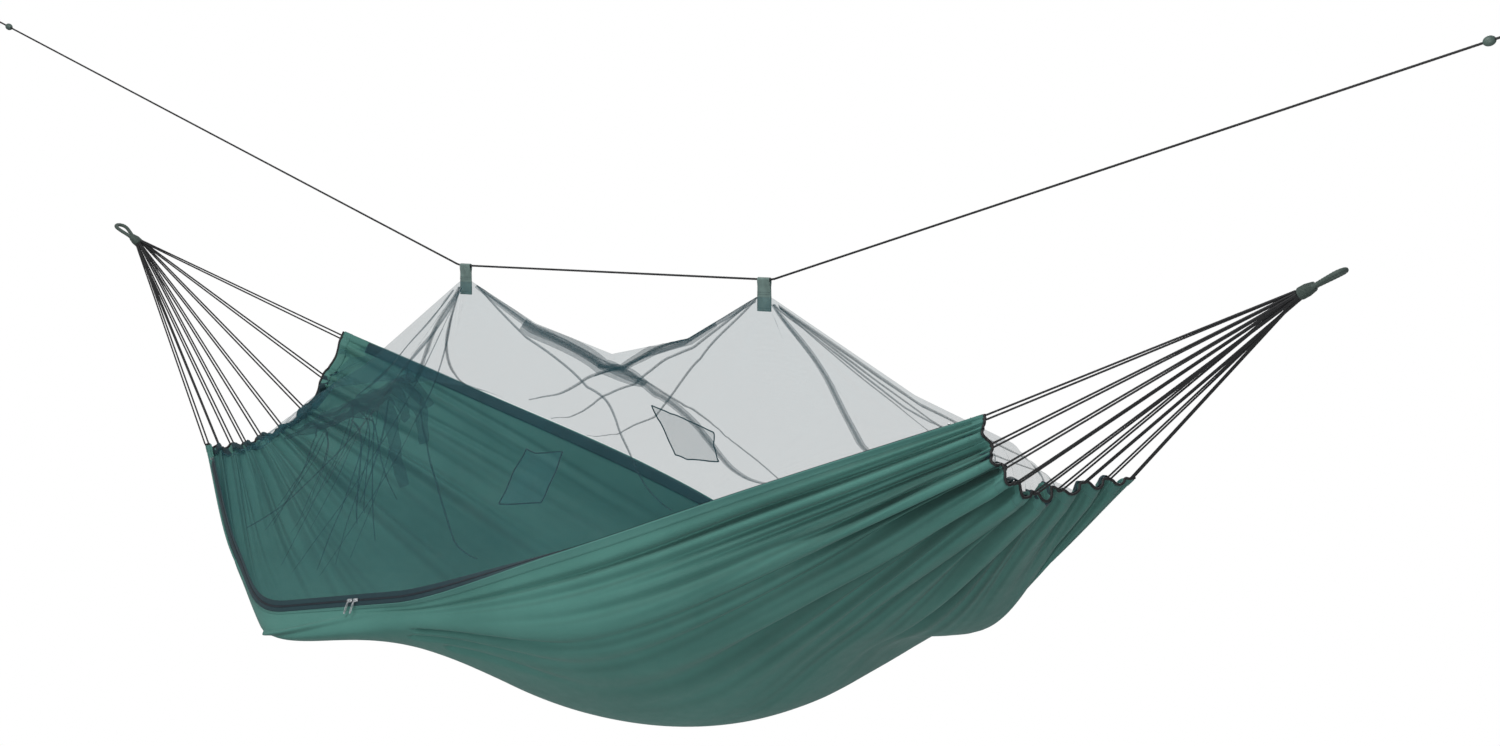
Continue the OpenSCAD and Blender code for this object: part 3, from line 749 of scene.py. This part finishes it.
def strand(end, k, side):
    """One cord's ends: in the whipping, and at the rope along the cloth's edge."""
    corner = smooth_bed(np.full(2, float(end)), np.array([0.0, 1.0]))
    way = EYE_WAYS[end]
    across = corner[1] - corner[0]
    across = unit(across - way * np.dot(across, way))
    up = np.cross(across, way)
    column = k // 3 - 1
    start = (THROATS[end] + across * STRAND_PITCH * (2 * column + side / 2)
             + up * STRAND_PITCH * STRAND_ROWS[end][k])
    t = LOOP_T[k]
    near = edge_rope_line(end, np.clip([t - 0.01, t, t + 0.01], 0, 1))
    along = unit(near[2] - near[0])
    return start, near[1] + along * STRAND_SPREAD * side, along


def cord_loop(end, k):
    """One cord: down from the whipping, round the edge rope, and back up."""
    (a, p, along), (b, q, _) = strand(end, k, -1), strand(end, k, 1)
    throat = unit(THROATS[end] - (p + q) / 2)
    out = unit(throat - along * np.dot(throat, along))
    wrap = EDGE_ROPE_D / 2 + CORD_D / 2
    turn = [(p + q) / 2 - along * STRAND_SPREAD * math.cos(x) - out * wrap * math.sin(x)
            for x in np.linspace(0, math.pi, 13)]
    lead = out * 0.004
    return np.array([a, p + lead, *turn, q + lead, b])


def whipping(end):
    """Cord wound round the strands and the legs of the eye, turn on turn."""
    way = EYE_WAYS[end]
    turns = WHIP_LENGTH / WHIP_PITCH
    x = np.linspace(0, 1, int(turns * 20))
    radius = np.interp(x, [0, 0.08, 0.5, 0.92, 1],
                       [WHIP_R - 0.0018, WHIP_R - 0.0008, WHIP_R - 0.0008,
                        NECK_R - 0.0008, NECK_R - 0.0016])
    up = np.cross(way, BACK)
    angle = 2 * np.pi * turns * x
    centre = THROATS[end] + way * (WHIP_START + WHIP_LENGTH * x)[:, None]
    path = centre + radius[:, None] * (np.cos(angle)[:, None] * BACK + np.sin(angle)[:, None] * up)
    x = np.linspace(0, 1, 12)
    core = tube(THROATS[end] + way * (WHIP_START + WHIP_LENGTH * x)[:, None],
                np.interp(x, [0, 0.5, 1], [WHIP_R, WHIP_R, NECK_R]) - 0.0012, 24)
    return [tube(path, WHIP_PITCH * 0.52, 6), core]


def teardrop(root, bow, way, half, legs, spread, count):
    """A loop's path: out on one leg, round a bow of a half width, and back on the other."""
    turn = np.linspace(0, math.pi, count)[:, None]
    leg = lerp(root, bow, legs)
    round_bow = bow + half * (way * np.sin(turn) - BACK * np.cos(turn))
    return np.concatenate([leg - BACK * spread, round_bow, (leg + BACK * spread)[::-1]])


def hanging_eye(end):
    """The rope eye, its two legs held in the whipping."""
    way = EYE_WAYS[end]
    root = THROATS[end] + way * (WHIP_START + WHIP_LENGTH - 0.004)
    bow = EYES[end] + way * (EYE_ROPE_D / 2 - EYE_HALF)
    x = np.linspace(0, 1, 14)[:-1, None]
    path = teardrop(root, bow, way, EYE_HALF, x, lerp(0.0042, EYE_HALF, smooth(x)), 28)
    return tube(resample(path, 0.0012), EYE_ROPE_D / 2, 16, strands=3, lay=0.018, first=BACK)


def add_suspension():
    for end, name in enumerate(("left", "right")):
        rope = resample(edge_rope_line(end, span(0.004, 0.996, 260)), 0.0022)
        make(name + "_edge_rope_line", [tube(rope, EDGE_ROPE_D / 2, 10, 3, 0.012)], "cord",
             node=name + "_edge_rope")
        loops = [tube(resample(cord_loop(end, k), 0.0024 / FINE), CORD_FULL_R, 8, 2, 0.011)
                 for k in range(LOOPS)]
        make(name + "_cord_loops", loops, "cord", node=name + "_cords")
        make(name + "_wound_whipping", whipping(end), "eye_rope", node=name + "_whipping")
        make(name + "_rope_eye", [hanging_eye(end)], "eye_rope", node=name + "_hanging_eye")


# ---- ridge line, its eyes, adjusters and tabs ----

LINE_D = 0.004
LINE_Z = -0.016
TAB_X = 0.400
TAB_W = 0.033
TAB_H = 0.060
TAB_SEAMS_Z = (-0.024, -0.028, -0.054)
WEB_T = 0.0010
BEND = TAB_W / 2 + 0.002
LEFT_RISE, RIGHT_RISE = 0.338, 0.295
LEFT_END_X, RIGHT_END_X = -2.050, 1.845
LINE_EYE_LENGTH, LINE_EYE_HALF = 0.070, 0.009


def line_left(x):
    return [x, 0, LINE_Z + LEFT_RISE * (-TAB_X - BEND - x)]


def line_right(x):
    return [x, 0, LINE_Z + RIGHT_RISE * (x - TAB_X - BEND)]


LINE_ROUTE = np.array([
    line_left(LEFT_END_X), line_left(-1.500), line_left(-0.900), line_left(-TAB_X - BEND - 0.006),
    [-TAB_X - BEND + 0.006, 0, LINE_Z], [-0.150, 0, LINE_Z], [0.150, 0, LINE_Z],
    [TAB_X + BEND - 0.006, 0, LINE_Z], line_right(TAB_X + BEND + 0.006), line_right(0.900),
    line_right(1.400), line_right(RIGHT_END_X)])
LEFT_WAY = unit(LINE_ROUTE[0] - LINE_ROUTE[1])
RIGHT_WAY = unit(LINE_ROUTE[-1] - LINE_ROUTE[-2])


def line_eye(root, way):
    """The line's end is turned back in a loop and bound to itself."""
    root = root + way * 0.0005
    bow = root + way * (LINE_EYE_LENGTH - LINE_EYE_HALF)
    x = np.linspace(0, 0.98, 16)[:, None]
    spread = lerp(LINE_D / 2 + 0.0002, LINE_EYE_HALF, smooth(x))
    path = teardrop(root, bow, way, LINE_EYE_HALF, x, spread, 20)
    loop = tube(resample(path, 0.0015), LINE_D / 2, 12, 3, 0.012, first=BACK)
    wound = np.linspace(0, 1, 90)[:, None]
    angle = wound * 2 * np.pi * 5
    binding = (root + way * (0.002 + 0.010 * wound) + BACK * 0.0052 * np.cos(angle)
               + np.cross(way, BACK) * 0.0028 * np.sin(angle))
    return [loop, tube(binding, 0.0009, 6)]


def tab_section():
    """Outline of webbing over the line: up the near side, round the line, down the far side."""
    ring = LINE_D / 2 + 0.0016
    turn = np.linspace(-0.35, math.pi + 0.35, 15)
    top = np.stack([-ring * np.cos(turn), ring * np.sin(turn)], -1)
    depth = np.linspace(0.006, TAB_H, 16)
    pinch = np.interp(depth, [0.006, 0.014, 0.028, TAB_H], [0.0030, 0.0012, 0.0008, 0.0011])
    near = np.stack([-pinch, -depth], -1)[::-1]
    far = np.stack([pinch, -depth], -1)
    return np.concatenate([near, top, far])


def add_tab(name, x):
    outline = tab_section()
    across = np.linspace(-0.5, 0.5, 15)
    width = TAB_W * np.interp(-outline[:, 1], [-0.006, 0.010, 0.030, TAB_H], [0.86, 0.93, 1, 0.98])
    rib = 0.0002 * np.cos(across * 15 * 2 * np.pi)
    points = np.zeros((len(outline), len(across), 3))
    points[..., 0] = x + across[None, :] * width[:, None]
    points[..., 1] = outline[:, None, 0] + rib[None, :] * np.sign(outline[:, None, 0])
    points[..., 2] = LINE_Z + outline[:, None, 1]
    make(name + "_webbing", [sheet(points, WEB_T)], "webbing", body="ridge", node=name)
    rows = []
    for z in TAB_SEAMS_Z:
        ends = np.array([[x - TAB_W * 0.44, 0, LINE_Z + z], [x + TAB_W * 0.44, 0, LINE_Z + z]])
        for side in (-1, 1):
            rows.append(stitches(ends + [0, side * 0.0020, 0], [0, side, 0], 0.0026, 0.001, 0.001))
    make(name + "_stitching", rows, "tape", body="ridge")


def add_ridge_line():
    path = resample(LINE_ROUTE, 0.0025)
    line = make("ridge_line_cord", [tube(path, LINE_D / 2, 10, 3, 0.012, first=BACK)], "cord",
                body="ridge", node="ridge_line")
    left = make("left_line_loop", line_eye(LINE_ROUTE[0], LEFT_WAY), "cord", body="ridge",
                node="left_line_eye")
    right = make("right_line_loop", line_eye(LINE_ROUTE[-1], RIGHT_WAY), "cord", body="ridge",
                 node="right_line_eye")
    add_tab("left_ridge_tab", -TAB_X)
    add_tab("right_ridge_tab", TAB_X)


# ---- zip ----

ZIP_STEEP, ZIP_FLAT = 75, 5
ZIP_ENDS = (0.03, 0.97)
TAPE_W, TAPE_T, TAPE_LAP = 0.008, 0.0008, 0.0012
CHAIN_W, CHAIN_T, TOOTH_PITCH = 0.004, 0.0024, 0.0026
CHAIN_LOW = TAPE_W + 0.001
CHAIN_HIGH = CHAIN_LOW + CHAIN_W
NET_TAPE_LOW = CHAIN_HIGH + 0.002
NET_TAPE_HIGH = NET_TAPE_LOW + TAPE_W
NET_EDGE = NET_TAPE_HIGH + 0.0005


def zip_up(u):
    """Which way the zip stands from the rim: up at its left, level behind the rim at its right."""
    angle = np.radians(lerp(ZIP_STEEP, ZIP_FLAT, smooth((np.asarray(u, float) - 0.5) / 0.2)))
    return np.stack([np.zeros_like(angle), np.cos(angle), np.sin(angle)], -1)


def zip_row(u, height):
    u, height = np.broadcast_arrays(np.asarray(u, float), np.asarray(height, float))
    return near_rim(u) + zip_up(u) * height[..., None]


def zip_band(low, high, thick):
    u, h = pairs(span(*ZIP_ENDS, 500), np.linspace(low, high, 7))
    return sheet(zip_row(u, h), thick)


def add_zip():
    make("zip_tape_lower", [zip_band(0.0004, CHAIN_LOW + TAPE_LAP, TAPE_T)], "tape",
         node="zip_tape_bed")
    make("zip_tape_upper", [zip_band(CHAIN_HIGH - TAPE_LAP, NET_TAPE_HIGH, TAPE_T)], "tape",
         node="zip_tape_net")
    rim = resample(zip_row(span(*ZIP_ENDS, 900), 0.0), TOOTH_PITCH)
    line = near_rim(np.linspace(*ZIP_ENDS, 2000))
    nearest = np.interp(rim[:, 0], line[:, 0], np.linspace(*ZIP_ENDS, 2000))
    along = unit(np.gradient(rim, axis=0))
    up = zip_up(nearest)
    up = unit(up - along * (up * along).sum(-1, keepdims=True))
    out = np.cross(along, up)
    # a tooth is a block with a narrower head; neighbours come from the two tapes in turn
    tooth = np.array([(a * w, b, c) for c, w in ((-0.5, 0.42), (0.1, 0.42), (0.5, 0.3))
                      for a, b in ((-1, -1), (1, -1), (1, 1), (-1, 1))])
    faces = [[0, 3, 2, 1], [8, 9, 10, 11]]
    for a in (0, 4):
        faces += [[a + k, a + (k + 1) % 4, a + 4 + (k + 1) % 4, a + 4 + k] for k in range(4)]
    sign = np.where(np.arange(len(rim)) % 2 == 0, 1.0, -1.0)[:, None, None]
    centre = rim + up * (CHAIN_LOW + CHAIN_HIGH) / 2
    points = (centre[:, None] + along[:, None] * (tooth[:, 0] * TOOTH_PITCH)[None, :, None]
              + out[:, None] * (tooth[:, 1] * CHAIN_T / 2)[None, :, None]
              + up[:, None] * sign * (tooth[:, 2] * CHAIN_W * 0.92)[None, :, None])
    flipped = [f[::-1] for f in faces]
    teeth = [[k + i * len(tooth) for k in f] for i in range(len(rim))
             for f in (faces if i % 2 else flipped)]
    make("zip_teeth_rows", [(points.reshape(-1, 3), teeth)], "zip_teeth", node="zip_chain",
         flat_shaded=True)


# ---- net ----

# The net's top line: over both tabs, down between them, and down to the bed's two ends
TOP_LINE = np.array([
    [-1.035, 0, -0.395], [-0.715, 0, -0.240], [-0.417, 0, -0.047], [-0.383, 0, -0.047],
    [-0.200, 0, -0.125], [0.010, 0, -0.176], [0.210, 0, -0.135], [0.383, 0, -0.047],
    [0.417, 0, -0.047], [0.715, 0.045, -0.215], [1.032, 0.095, -0.340]])
TOP_GUIDE_X = np.array([-1.035, -0.715, -0.400, -0.200, 0.010, 0.210, 0.400, 0.715, 1.032])
NET_SAG = 0.025
# The net closes onto the bed over this share of its length at each end, this far off the cloth
NET_CLOSE = 0.05
NET_LIFT = 0.004
PEAKS_U = (0.25, 0.75)
PEAK_FOLDS = 16
# Thicknesses of the net's end bindings and of the far binding, and the share across the bed, from
# rim to rim, that the far binding covers
NET_TAPE_T, FAR_TAPE_T, FAR_TAPE = 0.0012, 0.0009, (0.968, 0.997)
POCKET_EDGE_R = 0.0014


def net_top(u):
    x = np.interp(u, np.linspace(0, 1, len(TOP_GUIDE_X)), TOP_GUIDE_X)
    return np.stack([x, *(np.interp(x, TOP_LINE[:, 0], TOP_LINE[:, k]) for k in (1, 2))], -1)


def smooth_net(u, w):
    """A point of the net: w is 0 at the near rim, 0.5 on the top line and 1 at the far rim.
    At each end of the bed it closes down onto the inner face of the end hem."""
    u, w = np.broadcast_arrays(np.asarray(u, float), np.asarray(w, float))
    side = np.where(w < 0.5, 2 * w, 2 - 2 * w)[..., None]
    far_edge = smooth_bed(u, 1.0) + [0, -0.004, 0.003]
    edge = np.where((w < 0.5)[..., None], zip_row(u, NET_EDGE), far_edge)
    sag = NET_SAG * 4 * side * (1 - side) * smooth(8 * np.minimum(u, 1 - u))[..., None]
    tent = lerp(edge, net_top(u), side) - sag * UP
    t = lerp(0.05, 0.95, w)
    closed = smooth(1 - np.minimum(u, 1 - u) / NET_CLOSE)[..., None]
    return lerp(tent, bed(u, t) + NET_LIFT * bed_inward(u, t), closed)


def net_folds():
    """Folds of the net, as those of the bed: they fan out from the two tabs to both rims."""
    draw = np.random.default_rng(5)
    folds = []
    for peak in PEAKS_U:
        for side in (0, 1):
            for _ in range(PEAK_FOLDS):
                reach = draw.uniform(0.35, 0.95)
                target = (peak + draw.normal(0, 0.2), 0.5 + (side - 0.5) * reach)
                folds.append(((peak * BED_LENGTH, 0.5 * NET_WIDTH),
                              (target[0] * BED_LENGTH, target[1] * NET_WIDTH),
                              draw.uniform(-0.006, 0.006), (0.004, draw.uniform(0.006, 0.02))))
    return folds


NET_FOLDS = net_folds()


def net(u, w):
    """A point of the folded net: flat along both rims and the top line, gathered at both ends."""
    u, w = np.broadcast_arrays(np.asarray(u, float), np.asarray(w, float))
    side = np.where(w < 0.5, 2 * w, 2 - 2 * w)
    x, y = u * BED_LENGTH, w * NET_WIDTH
    relief = sum(fold(x, y, *f) for f in NET_FOLDS)
    relief = relief + 0.006 * value_noise(x * 5, w * 7, 21)
    relief = relief + 0.003 * value_noise(x * 16, w * 12, 22)
    gathered = np.exp(-u / 0.05) + np.exp(-(1 - u) / 0.06)
    relief = relief + 0.006 * gathered * value_noise(x * 2, w * 60, 23)
    relief = relief * smooth(side / 0.08) * smooth((1 - side) / 0.06)
    return smooth_net(u, w) + square_to(smooth_net, u, w) * relief[..., None]


def blend_net(piece):
    """Bakes the piece's place into its mesh; the piece rides on no body."""
    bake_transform(piece)
    return piece


def net_piece(name, grids, finish="net", node=None):
    return blend_net(make(name, [open_sheet(g) for g in grids], finish, body=None, node=node))


def net_strip(route, width, lift=0.0012):
    """A gathered fold of the net, a narrow strip along a smooth line through (u, w) places."""
    route = np.array(route, float)
    places = spline(route, np.linspace(0, 1, 120))
    middle = places * [BED_LENGTH, NET_WIDTH]
    run = unit(np.gradient(middle, axis=0))
    square = np.stack([-run[:, 1], run[:, 0]], -1)
    x = np.linspace(0, 1, len(middle))[:, None]
    half = width / 2 * (0.3 + 0.7 * np.sin(np.pi * np.clip(0.12 + 0.85 * x, 0, 1)) ** 0.6)
    rows = np.stack([middle + square * half * s for s in (-1, -0.3, 0.3, 1)], 1)
    u, w = rows[..., 0] / BED_LENGTH, rows[..., 1] / NET_WIDTH
    grid = net(np.clip(u, 0.002, 0.998), np.clip(w, 0, 1))
    return grid - UP * lift


# Gathered folds of the net, as (places in (u, w), width). w below 0.5 is the near panel. The long
# ones run from the two tabs, those of the left tab first and those of each tab's outer side last
NET_GATHERS = (
    (((0.27, 0.50), (0.49, 0.48), (0.60, 0.42), (0.72, 0.27), (0.84, 0.02)), 0.016),
    (((0.36, 0.49), (0.49, 0.48), (0.60, 0.42)), 0.032),
    (((0.27, 0.50), (0.50, 0.44), (0.62, 0.31), (0.76, 0.02)), 0.005),
    (((0.27, 0.51), (0.46, 0.53), (0.56, 0.63), (0.64, 0.83)), 0.010),
    (((0.74, 0.50), (0.56, 0.51), (0.41, 0.62), (0.24, 0.90)), 0.009),
    (((0.67, 0.50), (0.56, 0.51), (0.45, 0.56)), 0.024),
    (((0.73, 0.50), (0.55, 0.54), (0.40, 0.69), (0.25, 0.98)), 0.006),
    (((0.74, 0.50), (0.60, 0.55), (0.44, 0.73), (0.29, 0.99)), 0.005),
    (((0.74, 0.49), (0.62, 0.49), (0.50, 0.46)), 0.012),
    (((0.25, 0.49), (0.25, 0.43), (0.22, 0.28), (0.15, 0.04)), 0.012),
    (((0.24, 0.49), (0.22, 0.44), (0.16, 0.38)), 0.016),
    (((0.25, 0.49), (0.27, 0.37), (0.29, 0.20), (0.30, 0.05)), 0.005),
    (((0.25, 0.49), (0.30, 0.36), (0.33, 0.20), (0.35, 0.05)), 0.004),
    (((0.24, 0.51), (0.19, 0.58), (0.12, 0.80), (0.08, 0.98)), 0.014),
    (((0.24, 0.51), (0.20, 0.62), (0.18, 0.80), (0.17, 0.98)), 0.008),
    (((0.76, 0.49), (0.82, 0.41), (0.88, 0.22), (0.92, 0.02)), 0.015),
    (((0.76, 0.49), (0.86, 0.46), (0.93, 0.40), (0.97, 0.30)), 0.008),
    (((0.76, 0.51), (0.85, 0.54), (0.92, 0.61), (0.98, 0.70)), 0.012),
    (((0.76, 0.51), (0.84, 0.57), (0.90, 0.68), (0.95, 0.90)), 0.006),
    (((0.76, 0.51), (0.87, 0.52), (0.93, 0.55), (0.98, 0.62)), 0.016),
)
# Where the net drops into the bed at the left it is bunched, in a few broad crumpled strips
BUNCH = (
    ((0.08, 0.33), (0.11, 0.37), (0.18, 0.36), (0.25, 0.34), (0.30, 0.33), (0.34, 0.29)),
    ((0.10, 0.38), (0.14, 0.38), (0.20, 0.36), (0.26, 0.35), (0.31, 0.34)),
    ((0.07, 0.30), (0.12, 0.34), (0.19, 0.34), (0.25, 0.33), (0.29, 0.31)),
    ((0.09, 0.35), (0.16, 0.34), (0.23, 0.32), (0.29, 0.28), (0.36, 0.22)),
)
BUNCH_WIDTH = 0.034


def crumpled(grid, seed, height):
    """The same grid with small creases that stand down and towards the far side."""
    m, n = grid.shape[:2]
    i, j = pairs(np.arange(m) / 5, np.arange(n) * 0.8)
    return grid + np.array([0, 0.8, -0.6]) * (height * (1 + value_noise(i, j, seed)))[..., None]


def bunch_fan():
    """Fine folds that run from the bunch down to the zip and across the far wall."""
    draw = np.random.default_rng(8)
    fan = []
    for _ in range(18):
        u = draw.uniform(0.10, 0.30)
        w = draw.uniform(0.30, 0.36)
        reach = (u + draw.uniform(-0.02, 0.28), draw.uniform(0.03, 0.22))
        bend = lerp(np.array([u, w]), np.array(reach), 0.5) + [0.004, 0.004]
        fan.append((((u, w), tuple(bend), reach), draw.uniform(0.003, 0.007)))
    return tuple(fan)


# Corners of the two gear pockets in (u, w), in order round the edge
POCKETS = {
    "gear_pocket_left": ((0.48, 0.32), (0.55, 0.30), (0.58, 0.18), (0.52, 0.20)),
    "gear_pocket_right": ((0.51, 0.62), (0.57, 0.68), (0.55, 0.75), (0.48, 0.78)),
}


def pocket(corners):
    """A small gear pocket of doubled net, a little crumpled, and the line of its sewn edge."""
    a, b, c, d = np.array(corners)
    x, y = pairs(np.linspace(0, 1, 30), np.linspace(0, 1, 24))
    x, y = x[..., None], y[..., None]
    places = lerp(lerp(a, b, x), lerp(d, c, x), y)
    grid = net(places[..., 0], places[..., 1])
    inner = 0.8 if a[1] < 0.5 else -0.8
    crumple = 0.005 * value_noise(x[..., 0] * 2.2, y[..., 0] * 2.6, 31) + 0.005
    grid = grid + np.array([0, inner, -0.6]) * crumple[..., None]
    edge = np.concatenate([grid[:, 0], grid[-1, 1:], grid[::-1, -1][1:], grid[0, ::-1][1:]])
    return grid, edge


def add_net():
    u, w = pairs(span(0.001, 0.999, NET_GRID[0]), span(0.0, 1.0, NET_GRID[1]))
    panel = net_piece("mosquito_net_panel", [net(u, w)], node="mosquito_net")
    gathers = NET_GATHERS + bunch_fan()
    pieces = [
        # the gathered folds, their edges and the bunch use the gathered net, with painted shade in
        # its colour
        net_piece("net_gathered_folds", [net_strip(*gather) for gather in gathers],
                  "net_gathered_shaded"),
        net_piece("net_fold_edges",
                  [net_strip(route, width * 0.4, 0.002) for route, width in gathers],
                  "net_gathered_shaded"),
        net_piece("net_bunch", [crumpled(net_strip(route, BUNCH_WIDTH), 40 + k, 0.006)
                                for k, route in enumerate(BUNCH)], "net_gathered_shaded"),
    ]
    for name, corners in POCKETS.items():
        grid, edge = pocket(corners)
        cloth = net_piece(name + "_net", [grid], node=name)
        edging = tube(resample(edge, 0.004), POCKET_EDGE_R, 6)
        pieces += [cloth, blend_net(make(name + "_edging", [edging], "tape", body=None))]
    for name, u0, u1 in (("left_net_binding", 0.0, 0.010), ("right_net_binding", 0.990, 1.0)):
        u, w = pairs(np.linspace(u0, u1, 5), span(0.02, 0.98, NET_GRID[1]))
        pieces.append(make(name + "_tape", [sheet(net(u, w), NET_TAPE_T)], "tape", node=name))
    u, t = pairs(span(0.03, 0.97, 500), np.linspace(*FAR_TAPE, 6))
    grid = bed(u, t) + bed_inward(u, t) * 0.0026
    pieces.append(make("far_net_binding_tape", [sheet(grid, FAR_TAPE_T)], "tape",
                       node="far_net_binding"))


# ---- the whole hammock ----

PAINTS = all_paints()
add_camera()
add_studio()
add_ridge_line()
add_bed()
add_suspension()
add_zip()
add_net()

for sub in frame["record"]["subparts"]:
    node = frame["nodes"][sub["node"]]
    node.data.materials.clear()
    node.data.materials.append(PAINTS[sub["material_slot"]])
